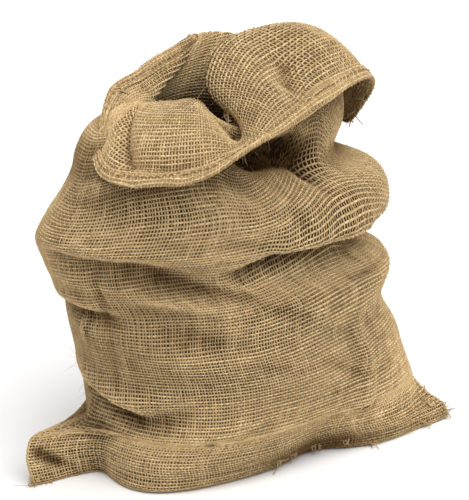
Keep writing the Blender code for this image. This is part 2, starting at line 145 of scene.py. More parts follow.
# The creases, a row for each: from one place on the cloth to another, how far its middle bows up,
# how deep it goes into the sack (minus) or stands out of it (plus), its width, how far the cloth just
# above it stands out as a lip, and how far that lip sags. On the cuff the cloth is turned over, so
# there plus makes a trough and minus a ridge.
FOLD_COLUMNS = ("turn", "climb", "to_turn", "to_climb", "bow", "depth", "width", "lip", "sag")
FOLDS = (
    # under the upper bulge, from the left side to the middle of the front
    (0.00, 0.572, 0.100, 0.550, 0.000, -0.010, 0.020, 0.003, 0.002),
    (0.10, 0.547, 0.225, 0.530, 0.000, -0.006, 0.024, 0.001, 0.000),
    # where the upper bulge fills out under the cuff
    (0.060, 0.700, 0.200, 0.695, 0.000, 0.015, 0.022, 0.000, 0.000),
    # the deep one on the right, and its branch down the middle of the front
    (0.120, 0.545, 0.215, 0.475, 0.000, -0.009, 0.019, 0.001, 0.001),
    (0.240, 0.532, 0.285, 0.557, 0.000, -0.010, 0.012, 0.002, 0.002),
    (0.275, 0.557, 0.380, 0.554, 0.003, -0.024, 0.011, 0.008, 0.009),
    (0.380, 0.552, 0.460, 0.545, 0.000, -0.010, 0.012, 0.003, 0.003),
    # the pocket under the cuff
    (0.238, 0.768, 0.345, 0.684, 0.003, -0.032, 0.011, 0.002, 0.003),
    # across the left bottom corner, which is doubled over on itself
    (0.008, 0.120, 0.042, 0.070, 0.000, -0.005, 0.006, 0.002, 0.000),
    # the left side, lower down
    (-0.03, 0.435, 0.060, 0.424, 0.000, -0.006, 0.011, 0.003, 0.002),
    (-0.02, 0.268, 0.064, 0.224, 0.000, -0.010, 0.011, 0.005, 0.003),
    (0.064, 0.224, 0.120, 0.232, -0.003, -0.006, 0.013, 0.003, 0.001),
    # the right side, lower down
    (0.36, 0.455, 0.480, 0.450, 0.000, -0.006, 0.012, 0.002, 0.002),
    # soft rolls across the front
    (0.02, 0.408, 0.030, 0.405, 0.000, 0.004, 0.018, 0.000, 0.000),
    (0.10, 0.445, 0.200, 0.420, 0.000, -0.003, 0.014, 0.001, 0.000),
    (0.130, 0.402, 0.195, 0.374, 0.000, -0.005, 0.014, 0.001, 0.000),
    (0.12, 0.345, 0.250, 0.340, 0.004, 0.004, 0.020, 0.000, 0.000),
    (0.28, 0.410, 0.380, 0.380, 0.000, 0.003, 0.018, 0.000, 0.000),
    (0.03, 0.670, 0.100, 0.665, 0.000, -0.003, 0.014, 0.000, 0.000),
    # beside the hem's band, along the cuff's left half
    (0.078, 0.885, 0.100, 0.925, 0.000, 0.007, 0.009, 0.000, 0.000),
    (0.100, 0.925, 0.124, 0.968, 0.000, 0.009, 0.009, 0.000, 0.000),
    (0.124, 0.968, 0.172, 0.974, -0.002, 0.003, 0.008, 0.000, 0.000),
    (0.172, 0.974, 0.240, 0.945, 0.000, 0.003, 0.008, 0.000, 0.000),
    # the notch between the cuff's two halves, and the trough down the right one
    (0.256, 0.895, 0.284, 0.852, 0.000, 0.010, 0.011, 0.000, 0.000),
    (0.340, 0.962, 0.380, 0.920, 0.000, 0.011, 0.014, 0.000, 0.000),
    # the back
    (0.53, 0.600, 0.700, 0.555, 0.006, -0.008, 0.013, 0.004, 0.004),
    (0.68, 0.620, 0.940, 0.600, -0.006, -0.009, 0.012, 0.005, 0.005),
    (0.58, 0.430, 0.800, 0.460, 0.008, -0.006, 0.012, 0.003, 0.002),
    (0.76, 0.330, 0.940, 0.365, 0.000, -0.006, 0.012, 0.003, 0.002),
    (0.52, 0.310, 0.660, 0.270, 0.000, -0.006, 0.012, 0.003, 0.002),
)


# Finer creases, in the same columns.
FINE_CREASES = (
    # from the pocket's right end down the upper bulge
    (0.356, 0.690, 0.334, 0.615, 0.000, -0.005, 0.014, 0.001, 0.000),
    # the short tuck on the left half of the cuff, which stands out
    (0.131, 0.985, 0.183, 0.985, 0.006, -0.0025, 0.005, 0.000, 0.000),
    # the crease across the left bottom corner, made less than half as deep in the open weave
    (0.008, 0.120, 0.042, 0.070, 0.000, 0.003, 0.006, -0.0015, 0.000),
    # beside the left side seam
    (0.069, 0.525, 0.056, 0.410, 0.000, -0.0020, 0.006, 0.000, 0.000),
    (0.060, 0.390, 0.053, 0.285, 0.000, -0.0015, 0.006, 0.000, 0.000),
    # down the right side
    (0.361, 0.378, 0.358, 0.292, 0.000, 0.0025, 0.010, 0.000, 0.000),
    (0.358, 0.292, 0.369, 0.140, 0.000, 0.0025, 0.010, 0.000, 0.000),
    # small ones over the upper bulge
    (0.050, 0.620, 0.090, 0.600, 0.000, -0.002, 0.008, 0.000, 0.000),
    (0.120, 0.610, 0.170, 0.590, 0.000, -0.002, 0.010, 0.000, 0.000),
    (0.200, 0.600, 0.260, 0.580, 0.000, -0.002, 0.009, 0.000, 0.000),
    (0.270, 0.640, 0.300, 0.590, 0.000, -0.002, 0.008, 0.000, 0.000),
    # and over the lower front
    (0.230, 0.440, 0.290, 0.400, 0.000, -0.002, 0.009, 0.000, 0.000),
    (0.210, 0.330, 0.270, 0.300, 0.000, -0.002, 0.010, 0.000, 0.000),
    (0.300, 0.300, 0.350, 0.250, 0.000, -0.002, 0.009, 0.000, 0.000),
    (0.180, 0.180, 0.240, 0.210, 0.000, -0.002, 0.010, 0.000, 0.000),
)


def column(table, names, name):
    """One column of a table, found by its name."""
    return np.array([row[names.index(name)] for row in table])


def curve(knots, values, at):
    """A smooth curve through the values, with each slope taken from the knots on either side."""
    spans = np.diff(knots)[:, None]
    rises = np.diff(values, axis=0) / spans
    inner = (rises[:-1] * spans[1:] + rises[1:] * spans[:-1]) / (spans[:-1] + spans[1:])
    slopes = np.vstack((rises[:1], inner, rises[-1:]))
    span = np.clip(np.searchsorted(knots, at, side="right") - 1, 0, len(knots) - 2)
    width = spans[span]
    t = ((at - knots[span]) / width[:, 0])[:, None]
    start, end = values[span], values[span + 1]
    out = (2 * t**3 - 3 * t**2 + 1) * start + (t**3 - 2 * t**2 + t) * width * slopes[span]
    return out + (3 * t**2 - 2 * t**3) * end + (t**3 - t**2) * width * slopes[span + 1]


def round_the_mouth(turns):
    """The mouth's columns at each turn, on a curve that closes on itself."""
    knots = column(MOUTH, MOUTH_COLUMNS, "turn")
    values = np.array(MOUTH)[:, 1:]
    knots = np.concatenate((knots[-3:] - 1, knots, knots[:3] + 1))
    values = np.vstack((values[-3:], values, values[:3]))
    return curve(knots, values, turns % 1)


def spread_evenly(points, turns):
    """A closed ring given by many points from the left end round the front, read at even steps of
    cloth: the front half and the back half each from one side seam to the other."""
    middle = len(points) // 2
    out = np.empty((len(turns), 3))
    for half, first, last in ((turns <= 0.5, 0, middle), (turns >= 0.5, middle, len(points) - 1)):
        piece = points[first : last + 1]
        run = np.concatenate(([0], np.cumsum(np.linalg.norm(np.diff(piece, axis=0), axis=1))))
        share = (turns[half] * 2) % 1
        share[turns[half] == (0.5 if first == 0 else 1.0)] = 1.0
        for axis in range(3):
            out[half, axis] = np.interp(share * run[-1], run, piece[:, axis])
    return out


def body_ring(section, turns):
    """One level section of the body: a quarter ellipse to each side, with the bottom corners' ears."""
    size = dict(zip(SECTION_COLUMNS, section))
    places = (0, LEFT_EAR_TOP, SET_BACK_FROM)
    middle = np.interp(size["height"], places, (LEFT_EAR_FOOT, LEFT_EAR_HEAD, 0))
    first = -np.arcsin(middle / size["back" if middle > 0 else "front"])
    angle = np.concatenate((np.linspace(first, np.pi, 361), np.linspace(np.pi, first + 2 * np.pi, 361)[1:]))
    across, along = -np.cos(angle), -np.sin(angle)
    x = np.where(across < 0, size["left"], size["right"]) * across
    y = np.where(along < 0, size["front"], size["back"]) * along
    left_ear = np.exp(-(((y - middle) / LEFT_EAR_WIDTH) ** 2)) * (across < 0)
    x = x - size["left_ear"] * left_ear
    x = x + size["right_ear"] * np.exp(-((y / RIGHT_EAR_WIDTH) ** 2)) * (across > 0)
    x = x + size["shift"] * np.maximum(-along, 0) ** 2
    y = y - size["forward"] * np.maximum(across, 0) ** 3
    y = y - LEFT_EAR_BEND * max(1 - size["height"] / LEFT_EAR_TOP, 0) * left_ear
    drawn = np.exp(-(((x - DRAWN_AT) / DRAWN_WIDTH) ** 2)) * (along < 0)
    y = y + DRAWN_IN * max(1 - size["height"] / DRAWN_TOP, 0) * drawn
    rise = min(size["height"] / SET_BACK_FROM, 1)
    y = y + SET_BACK * rise**2 * (3 - 2 * rise)
    z = np.full(len(x), size["height"])
    return spread_evenly(np.stack((x, y, z), axis=1), turns)


def seam_line(base, turns):
    """The bottom seam under the sack, from the left ear's tip to the right one's and back again."""
    first = base[np.argmin(base[:, 0])]
    last = base[np.argmax(base[:, 0])]
    across = 1 - np.abs(turns * 4 - 2)
    knots = column(SEAM, SEAM_COLUMNS, "across")
    depth = curve(knots, column(SEAM, SEAM_COLUMNS, "depth")[:, None], across)[:, 0]
    middle, half = (first[0] + last[0]) / 2, (last[0] - first[0]) / 2 - SEAM_INSET
    return np.stack((middle + half * across, depth, np.zeros(len(turns))), axis=1)


def unfolded_surface(turns, climbs):
    """The cloth before its creases. Below the widest section, LEVELS of the climb, its rows lie level
    all round the body; above that each meridian is shared out evenly up to the hem."""
    rings = [body_ring(section, turns) for section in SECTIONS]
    seam = seam_line(rings[0], turns)
    mouth = round_the_mouth(turns)
    crest, hem, crown = mouth[:, 0:3], mouth[:, 3:6], mouth[:, 6:7]
    drop = hem - crest
    outwards = np.stack((drop[:, 0], drop[:, 1], np.linalg.norm(drop[:, :2], axis=1) + CROWN_UP), axis=1)
    outwards /= np.linalg.norm(outwards, axis=1)[:, None]
    shoulder = crest + SHOULDER_AT * drop + crown * outwards
    cuff = crest + CUFF_AT * drop + CUFF_CROWN * crown * outwards
    floor = seam + FLOOR_SHARE * (rings[0] - seam)
    keys = np.array([seam, floor, *rings, crest, shoulder, cuff, hem])
    steps = np.linalg.norm(np.diff(keys[:, turns < 0.5], axis=0), axis=2)
    knots = np.concatenate(([0], np.cumsum(np.median(steps, axis=1))))
    widest = knots[2 + WIDEST]
    at = np.where(
        climbs <= LEVELS,
        climbs / LEVELS * widest,
        widest + (climbs - LEVELS) / (1 - LEVELS) * (knots[-1] - widest),
    )
    out = curve(knots, keys.reshape(len(keys), -1), at).reshape(len(climbs), -1, 3)
    curl = np.clip((out[:, :, 0] - RIGHT_EAR_ROOT) / RIGHT_EAR_REACH, 0, 1)
    out[:, :, 2] = np.maximum(out[:, :, 2], 0) + RIGHT_EAR_LIFT * curl**2
    run = run_along(out)
    level = run[np.searchsorted(climbs, LEVELS)]
    above = LEVELS + (run - level) / (run[-1] - level) * (1 - LEVELS)
    return read_at(out, np.where(climbs[:, None] < LEVELS, climbs[:, None], above), climbs)


def run_along(surface):
    """How far each point is along its meridian from the bottom seam."""
    steps = np.linalg.norm(np.diff(surface, axis=0), axis=2)
    return np.vstack((np.zeros((1, surface.shape[1])), np.cumsum(steps, axis=0)))


def read_at(surface, shares, climbs):
    """The surface at the given climbs, where shares says which climb each of its points stands for."""
    out = np.empty((len(climbs), *surface.shape[1:]))
    for i in range(surface.shape[1]):
        for axis in range(3):
            out[:, i, axis] = np.interp(climbs, shares[:, i], surface[:, i, axis])
    return out


def outward(surface):
    """Unit normals of a surface given as rows and columns of points, closed round its columns."""
    ahead = np.roll(surface[:, :-1], -1, axis=1) - np.roll(surface[:, :-1], 1, axis=1)
    ahead = np.concatenate((ahead, ahead[:, :1]), axis=1)
    up = np.gradient(surface, axis=0)
    normal = np.cross(ahead, up)
    return normal / np.maximum(np.linalg.norm(normal, axis=2), 1e-9)[:, :, None]


def crease(fold, turns, climbs):
    """How strongly a fold acts at each point, 1 along its line: (on the line, just above the line)."""
    size = dict(zip(FOLD_COLUMNS, fold))
    across = ((turns[None, :] - size["turn"] + 0.5) % 1 - 0.5) * GIRTH
    up = (climbs[:, None] - size["climb"]) * LENGTH
    run = ((size["to_turn"] - size["turn"] + 0.5) % 1 - 0.5) * GIRTH
    rise = (size["to_climb"] - size["climb"]) * LENGTH
    long = np.hypot(run, rise) + 1e-9
    along = (across * run + up * rise) / long**2
    side = (up * run - across * rise) / long
    side = side - size["bow"] * (1 - (2 * np.clip(along, 0, 1) - 1) ** 2)
    past = np.maximum(np.abs(along - 0.5) - 0.5, 0) * long
    inside = np.clip(np.minimum(along, 1 - along) / FOLD_FADE, 0, 1)
    reach = size["width"]
    fade = np.exp(-((past / reach) ** 2)) * (FOLD_END + (1 - FOLD_END) * inside)
    on = np.exp(-((side / np.where(side > 0, FOLD_UPPER * reach, reach)) ** 2)) * fade
    above = np.exp(-(((side - LIP_AT * reach) / reach) ** 2)) * fade
    return on, above


def cloth_surface(turns, climbs):
    """The cloth's outer face: an array of points, a row for each climb and a column for each turn."""
    fine = np.linspace(0, 1, FINE_ROWS + 1)
    surface = unfolded_surface(turns, fine)
    normal = outward(surface)
    for fold in FOLDS + FINE_CREASES:
        size = dict(zip(FOLD_COLUMNS, fold))
        on, above = crease(fold, turns, fine)
        surface = surface + normal * (size["depth"] * on + size["lip"] * above)[:, :, None]
        surface[:, :, 2] -= size["sag"] * above
    surface[:, :, 2] = np.maximum(surface[:, :, 2], 0)
    run = run_along(surface)
    apart = (turns[:, None] - turns[None, :-1] + 0.5) % 1 - 0.5
    weights = np.exp(-((apart / EVENED_OVER) ** 2))
    even = run[:, :-1] / run[-1, :-1] @ (weights / weights.sum(axis=1)[:, None]).T
    evenly = np.clip((fine - LEVEL_TO) / (EVEN_FROM - LEVEL_TO), 0, 1)[:, None]
    shares = (1 - evenly) * fine[:, None] + evenly * even
    return read_at(surface, shares, climbs) - np.array((*CENTRE, 0))


CLOTH = 0.0025  # through the weave, yarn over yarn
SHEET_COLUMNS = 160  # faces of the sheet, round the tube and up it
SHEET_ROWS = 110
SHEET_EDGE = -0.0006  # it turns over at the hem just short of the cloth's end
# The shade between the yarns, by share of the sheet's height: darkest on the body, lighter on the cuff,
# which has more cloth close behind it, and lightest in the hem, where a second layer fills the gaps.
SHADE_STEPS = (
    (0.78, (0.035, 0.021, 0.008, 1)),
    (0.86, (0.10, 0.062, 0.027, 1)),
    (0.935, (0.10, 0.062, 0.027, 1)),
    (0.955, (0.34, 0.235, 0.115, 1)),
)
HEM_TURN = 0.013  # the width that is turned over and sewn down
HEM_LIFT = 0.0021  # how far the turned layer lies from the first at the fold
HEM_LIFT_SEWN = 0.0011  # and where it is sewn down


def laid_cloth(turns, climbs):
    """The middle of the weave at each place, with its outward normals."""
    surface = cloth_surface(turns, climbs)
    normal = outward(surface)
    middle = surface - 0.5 * CLOTH * normal
    middle[:, :, 2] = np.maximum(middle[:, :, 2], 0.5 * CLOTH)
    return middle, normal


def hemmed_cloth(turns, climbs, pitch, edge_reach):
    """The laid cloth with its hem: a row at the fold, edge_reach past the last one, then rows that come
    back over the inner face, half a column on. pitch is the climb from row to row."""
    middle, normal = laid_cloth(turns, climbs)
    beyond = middle[-1:] + (middle[-1:] - middle[-2:-1]) / pitch / LENGTH * edge_reach
    back = 1 - np.arange(0.5, HEM_TURN / LENGTH / pitch) * pitch
    shift = 0.5 * (turns[1] - turns[0])
    turned, turned_normal = laid_cloth(turns + shift, back[::-1])
    turned, turned_normal = turned[::-1], turned_normal[::-1]
    lift = np.linspace(HEM_LIFT, HEM_LIFT_SEWN, len(back))[:, None, None]
    middle = np.concatenate((middle, beyond - 0.5 * HEM_LIFT * normal[-1:], turned - lift * turned_normal))
    normal = np.concatenate((normal, normal[-1:], turned_normal))
    return middle, normal


def weld_grid(name, columns, rows, place):
    """A grid laid on the points of place, sewn where its edges meet."""
    shape = bmesh.new()
    uv = shape.loops.layers.uv.new("OFBake")
    bmesh.ops.create_grid(shape, x_segments=columns, y_segments=rows, size=1.0)
    for face in shape.faces:
        for corner in face.loops:
            corner[uv].uv = (corner.vert.co.x / 2 + 0.5, corner.vert.co.y / 2 + 0.5)
    for vert in shape.verts:
        vert.co = place[round((vert.co.y + 1) / 2 * rows), round((vert.co.x + 1) / 2 * columns)]
    bmesh.ops.remove_doubles(shape, verts=shape.verts, dist=1e-5)
    for face in shape.faces:
        face.smooth = True
    mesh = bpy.data.meshes.new(name)
    shape.to_mesh(mesh)
    shape.free()
    made = bpy.data.objects.new(name, mesh)
    bpy.context.collection.objects.link(made)
    return made


sheet_turns = np.linspace(0, 1, SHEET_COLUMNS + 1)
sheet_climbs = np.linspace(0, 1, SHEET_ROWS + 1)
sheet_middle = hemmed_cloth(sheet_turns, sheet_climbs, 1 / SHEET_ROWS, SHEET_EDGE)[0]
cloth_sheet = weld_grid("cloth_sheet", SHEET_COLUMNS, len(sheet_middle) - 1, sheet_middle)

shade = bpy.data.materials.new("shade_between_yarns")
shade.use_nodes = True
shade_surface = shade.node_tree.nodes["Principled BSDF"]
shade_flat = shade.node_tree.nodes.new("ShaderNodeUVMap")
shade_flat.uv_map = "OFBake"
shade_rows = shade.node_tree.nodes.new("ShaderNodeSeparateXYZ")
shade_tone = shade.node_tree.nodes.new("ShaderNodeValToRGB")
shade_ramp = shade_tone.color_ramp
for element, (position, colour) in zip(shade_ramp.elements, SHADE_STEPS[:2]):
    element.position = position
    element.color = colour
for position, colour in SHADE_STEPS[2:]:
    shade_ramp.elements.new(position).color = colour
shade.node_tree.links.new(shade_flat.outputs["UV"], shade_rows.inputs["Vector"])
shade.node_tree.links.new(shade_rows.outputs["Y"], shade_tone.inputs["Fac"])
shade.node_tree.links.new(shade_tone.outputs["Color"], shade_surface.inputs["Base Color"])
shade_surface.inputs["Roughness"].default_value = 1.0
shade_surface.inputs["Specular IOR Level"].default_value = 0.1
cloth_sheet.data.materials.append(shade)


# ---- The yarns ----
# 320 jute yarns run up the sack and 162 cross them, with a few more in the turned hem, and each goes
# over one and under the next. They are spun unevenly, so they swell, thin out and wander. Painted shade
# darkens their colour in the weave's hollows and in the areas where shade falls.

WARP_YARNS = 320
WEFT_ROWS = 162
WEFT_FIRST = 0.002  # the climbs of the first and the last one
WEFT_LAST = 0.998
EDGE_REACH = 0.0008  # how far the weave runs past the last one to the hem's fold
CRIMP = 0.00048  # how far a yarn's middle rises and falls
WARP_RADIUS = 0.00058
WEFT_RADIUS = 0.00072
FLATTEN = 0.82  # a yarn's height for its width
SIDES = 4  # the sides of a yarn
GROUPS = 3  # the pieces that each set of yarns is made in
DRIFT_ACROSS = 0.00045  # how far warp yarns stray across, patch by patch and then each by itself
STRAY_ACROSS = 0.00022
DRIFT_UP = 0.00055  # how far weft yarns stray up and down, in the same two ways
STRAY_UP = 0.00028
SLUB = 0.16  # how much a yarn swells and thins along its length,
YARN_SPREAD = 0.10  # how much one differs from the next,
PATCH_SPREAD = 0.11  # and how much one patch of the cloth differs from another
WHOLE_YARN = 400  # a reach of more crossings than any yarn has
PITCH_RANGE = (0.5, 2)  # how far the spacing of the yarns changes their thickness
THICK_RANGE = (0.5, 1.7)
FULLER_FROM = 0.885  # the share of the rows, near the hem, from which the yarns are thicker
FULLER = 1.12  # and how much
HOLLOW_REACH = 0.009  # how far a hollow reaches to each side, for the painted shade
HOLLOW_DEPTH = 0.0032  # how deep it is where its painted shade is darkest
NO_PAINTED_SHADE = 0.5  # what stands for flat cloth, with no painted shade, on a scale from 0 to 1
UV_REACH = 0.4  # how far a yarn reaches to each side in the flat picture, for its share of that
# How strongly hollows in the outer face are painted with shade, by share of the rows: less at the bottom,
# and the other way about on the cuff, where the inner face shows.
FACE_SHOWN = ((0, 0.12, 0.17, 0.78, 0.83, 1), (0.35, 0.35, 1, 1, -1, -1))
# Painted shade besides, in areas where shade falls, a row for each: its middle, how far it reaches and how
# much.
PAINTED_SHADE_COLUMNS = ("turn", "row", "turn_reach", "row_reach", "more")
PAINTED_SHADE_AREAS = (
    (0.30, 0.74, 9.0, 0.045, 0.40),  # the neck, in the cuff's shade
    (0.10, 0.42, 0.13, 0.13, 0.20),  # the left half of the front
    (0.02, 0.38, 0.06, 0.16, 0.10),
    (0.33, 0.06, 0.07, 0.03, 0.60),  # above the ground, right of the middle
    (0.30, 0.00, 9.0, 0.04, 0.35),  # the ground line
    (0.35, 0.63, 0.035, 0.05, 0.22),  # to the right of the pocket
    (0.475, 0.94, 0.03, 0.05, 0.45),  # the cuff's right end
    (0.13, 0.660, 0.08, 0.022, 0.65),  # close under the hem
    (0.014, 0.106, 0.007, 0.012, 0.50),  # along the crease across the left bottom corner
    (0.023, 0.093, 0.007, 0.012, 0.50),
    (0.032, 0.080, 0.007, 0.012, 0.50),
)


def wander(rows, columns, row_reach, column_reach, seed):
    """Smooth random numbers of about unit size, which meet where the columns close."""
    chance = np.random.default_rng(seed)
    down = max(2, round(rows / row_reach) + 1)
    across = max(2, round(columns / column_reach) + 1)
    knots = chance.normal(size=(down, across))
    knots[:, -1] = knots[:, 0]
    at = np.linspace(0, down - 1, rows)
    knots = np.stack([np.interp(at, np.arange(down), knots[:, i]) for i in range(across)], axis=1)
    at = np.linspace(0, across - 1, columns)
    return np.stack([np.interp(at, np.arange(across), knots[i]) for i in range(rows)])


yarn_turns = np.linspace(0, 1, WARP_YARNS + 1)
yarn_climbs = np.linspace(WEFT_FIRST, WEFT_LAST, WEFT_ROWS)
crossing, facing = hemmed_cloth(yarn_turns, yarn_climbs, yarn_climbs[1] - yarn_climbs[0], EDGE_REACH)
ROWS_IN_ALL = len(crossing)
EDGE_ROW = WEFT_ROWS  # the row on the fold has no weft yarn
row_share = np.linspace(0, 1, ROWS_IN_ALL)

# the ways up and across the weave at each crossing
weave_up = np.gradient(crossing, axis=0)
weave_up /= np.maximum(np.linalg.norm(weave_up, axis=2), 1e-9)[:, :, None]
weave_across = np.cross(weave_up, facing)
weave_across /= np.maximum(np.linalg.norm(weave_across, axis=2), 1e-9)[:, :, None]

# how far the crossings stray from an even grid
grid_size = (ROWS_IN_ALL, WARP_YARNS + 1)
sideways = DRIFT_ACROSS * wander(*grid_size, 14, 12, 1) + STRAY_ACROSS * wander(*grid_size, 9, 1, 2)
lengthways = DRIFT_UP * wander(*grid_size, 10, 18, 3) + STRAY_UP * wander(*grid_size, 1, 10, 4)
sideways[:, -1], lengthways[:, -1] = sideways[:, 0], lengthways[:, 0]
crossing = crossing + sideways[:, :, None] * weave_across + lengthways[:, :, None] * weave_up

# 1 where the warp yarn goes over the weft yarn, -1 where it goes under
over = np.add.outer(np.arange(ROWS_IN_ALL), np.arange(WARP_YARNS + 1))
over = np.where(over % 2 == 0, 1.0, -1.0)


def tube_template(rings, closed):
    """One yarn as a four-sided tube of so many rings, and the ring and side of each of its vertices."""
    steps = rings if closed else rings - 1
    shape = bmesh.new()
    bmesh.ops.create_grid(shape, x_segments=steps, y_segments=SIDES, size=1.0)
    for vert in shape.verts:
        ring = round((vert.co.x + 1) / 2 * steps)
        angle = (vert.co.y + 1) * np.pi
        if closed:
            turn = 2 * np.pi * ring / rings
            out = rings + np.cos(angle)
            vert.co = (out * np.cos(turn), out * np.sin(turn), np.sin(angle))
        else:
            vert.co = (ring, np.cos(angle), np.sin(angle))
    bmesh.ops.remove_doubles(shape, verts=shape.verts, dist=1e-3)
    if not closed:
        bmesh.ops.holes_fill(shape, edges=shape.edges, sides=SIDES)
    bmesh.ops.recalc_face_normals(shape, faces=shape.faces)
    mesh = bpy.data.meshes.new("yarn_template")
    shape.to_mesh(mesh)
    shape.free()
    places = np.empty(len(mesh.vertices) * 3)
    mesh.vertices.foreach_get("co", places)
    places = places.reshape(-1, 3)
    if closed:
        ring = np.round(np.arctan2(places[:, 1], places[:, 0]) / (2 * np.pi) * rings).astype(int) % rings
        out = np.hypot(places[:, 0], places[:, 1]) - rings
        side = np.round(np.arctan2(places[:, 2], out) / (np.pi / 2)).astype(int) % SIDES
    else:
        ring = np.round(places[:, 0]).astype(int)
        side = np.round(np.arctan2(places[:, 2], places[:, 1]) / (np.pi / 2)).astype(int) % SIDES
    return mesh, ring, side


def lay_yarns(name, centres, lateral, normal, radius, closed, uv_centre, uv_lateral, painted_shade):
    """A mesh of many yarns: centres, lateral and normal directions and radius for each yarn and ring."""
    count, rings = centres.shape[:2]
    template, ring, side = tube_template(rings, closed)
    shape = bmesh.new()
    for _ in range(count):
        shape.from_mesh(template)
    mesh = bpy.data.meshes.new(name)
    shape.to_mesh(mesh)
    shape.free()
    bpy.data.meshes.remove(template)
    angle = side * np.pi / 2
    spread, rise = np.cos(angle), np.sin(angle)
    points = centres[:, ring] + radius[:, ring, None] * (
        spread[None, :, None] * lateral[:, ring] + FLATTEN * rise[None, :, None] * normal[:, ring]
    )
    mesh.vertices.foreach_set("co", points.reshape(-1).astype(np.float32))
    flat = uv_centre[:, ring] + spread[None, :, None] * uv_lateral
    corners = np.empty(len(mesh.loops), np.int32)
    mesh.loops.foreach_get("vertex_index", corners)
    layer = mesh.uv_layers.new(name="OFBake")
    layer.data.foreach_set("uv", flat.reshape(-1, 2)[corners].reshape(-1).astype(np.float32))
    # the painted shade of each ring, which the material reads
    depth = mesh.attributes.new("painted_shade", "FLOAT", "POINT")
    depth.data.foreach_set("value", painted_shade[:, ring].reshape(-1).astype(np.float32))
    mesh.polygons.foreach_set("use_smooth", np.ones(len(mesh.polygons), bool))
    mesh.update()
    made = bpy.data.objects.new(name, mesh)
    bpy.context.collection.objects.link(made)
    return made


# how thick each yarn is at each crossing, for its radius: thicker where the weave is opened out
slub_warp = 1 + SLUB * wander(*grid_size, 5, 1, 5) + YARN_SPREAD * wander(*grid_size, WHOLE_YARN, 1, 6)
slub_weft = 1 + SLUB * wander(*grid_size, 1, 5, 7) + YARN_SPREAD * wander(*grid_size, 1, WHOLE_YARN, 8)
tight = 1 + PATCH_SPREAD * wander(*grid_size, 16, 20, 9)
across_pitch = np.linalg.norm(np.roll(crossing[:, :-1], -1, axis=1) - crossing[:, :-1], axis=2)
across_pitch = np.concatenate((across_pitch, across_pitch[:, :1]), axis=1) * WARP_YARNS / GIRTH
up_pitch = np.linalg.norm(np.gradient(crossing, axis=0), axis=2) * WEFT_ROWS / LENGTH
slub_warp = np.clip(slub_warp * tight * np.clip(across_pitch, *PITCH_RANGE) ** 0.5, *THICK_RANGE)
slub_weft = np.clip(slub_weft * tight * np.clip(up_pitch, *PITCH_RANGE) ** 0.5, *THICK_RANGE)
fuller_rows = row_share[:, None] > FULLER_FROM
slub_warp = slub_warp * np.where(fuller_rows, FULLER, 1)
slub_weft = slub_weft * np.where(fuller_rows, FULLER, 1)

# how hollow the cloth is at each crossing, which sets its painted shade: how far the cloth around, in the
# mean, stands off it
rows_off = np.arange(ROWS_IN_ALL)[:, None] - np.arange(ROWS_IN_ALL)[None, :]
row_weights = np.exp(-((rows_off * LENGTH / WEFT_ROWS / HOLLOW_REACH) ** 2))
row_weights /= row_weights.sum(axis=1)[:, None]
yarns_off = np.arange(WARP_YARNS)[:, None] - np.arange(WARP_YARNS)[None, :]
yarns_off = (yarns_off + WARP_YARNS // 2) % WARP_YARNS - WARP_YARNS // 2
yarn_weights = np.exp(-((yarns_off * GIRTH / WARP_YARNS / HOLLOW_REACH) ** 2))
yarn_weights /= yarn_weights.sum(axis=1)[:, None]
around = np.einsum("rs,sjk->rjk", row_weights, crossing[:, :-1])
around = np.einsum("ij,rjk->rik", yarn_weights, around)
painted_shade = ((around - crossing[:, :-1]) * facing[:, :-1]).sum(axis=2) / HOLLOW_DEPTH
painted_shade = np.concatenate((painted_shade, painted_shade[:, :1]), axis=1)
painted_shade = NO_PAINTED_SHADE * (1 + painted_shade * np.interp(row_share, *FACE_SHOWN)[:, None])
for area in PAINTED_SHADE_AREAS:
    spot = dict(zip(PAINTED_SHADE_COLUMNS, area))
    turns_off = (yarn_turns[None, :] - spot["turn"] + 0.5) % 1 - 0.5
    shares_off = row_share[:, None] - spot["row"]
    off = np.hypot(turns_off / spot["turn_reach"], shares_off / spot["row_reach"])
    painted_shade = painted_shade + spot["more"] * np.exp(-(off**2))
painted_shade = np.clip(painted_shade, 0, 1)

yarn_pieces = []
for group in range(GROUPS):
    mine = np.arange(WARP_YARNS * group // GROUPS, WARP_YARNS * (group + 1) // GROUPS)
    middle = np.swapaxes(crossing[:, mine] + CRIMP * over[:, mine, None] * facing[:, mine], 0, 1)
    flat_turn = (mine - mine[0] + 0.5) / len(mine)
    flat = np.stack(np.broadcast_arrays(flat_turn[:, None], row_share[None, :]), axis=2)
    yarn_pieces.append(lay_yarns(
        f"warp_yarns_{group + 1}", middle,
        np.swapaxes(weave_across[:, mine], 0, 1), np.swapaxes(facing[:, mine], 0, 1),
        WARP_RADIUS * slub_warp[:, mine].T, False, flat, np.array((UV_REACH / len(mine), 0)),
        painted_shade[:, mine].T,
    ))

weft_rows = np.array([row for row in range(ROWS_IN_ALL) if row != EDGE_ROW])
for group in range(GROUPS):
    mine = weft_rows[len(weft_rows) * group // GROUPS:len(weft_rows) * (group + 1) // GROUPS]
    ring = slice(0, WARP_YARNS)
    middle = crossing[mine, ring] - CRIMP * over[mine, ring, None] * facing[mine, ring]
    flat_row = (np.arange(len(mine)) + 0.5) / len(mine)
    turn = np.minimum(2 * yarn_turns[:-1], 2 - 2 * yarn_turns[:-1])
    flat = np.stack(np.broadcast_arrays(turn[None, :], flat_row[:, None]), axis=2)
    yarn_pieces.append(lay_yarns(
        f"weft_yarns_{group + 1}", middle, weave_up[mine, ring], facing[mine, ring],
        WEFT_RADIUS * slub_weft[mine, ring], True, flat, np.array((0, UV_REACH / len(mine))),
        painted_shade[mine, ring],
    ))


PATCH_SCALE = 14.0  # how many paler and darker patches go to a metre
PATCH_LIGHT = (0.86, 1.12)  # how dark and how light they are
STREAK_RANGE = (0.30, 0.70)  # the part of the noise that goes from the darkest yarns to the lightest
YARN_DARK = (0.62, 0.58, 0.50)  # those two, for the base colour
YARN_LIGHT = (1.22, 1.24, 1.32)
PAINTED_SHADE_TONE = (0.30, 0.235, 0.17, 1)  # the painted shade that the deepest hollows multiply the colour by
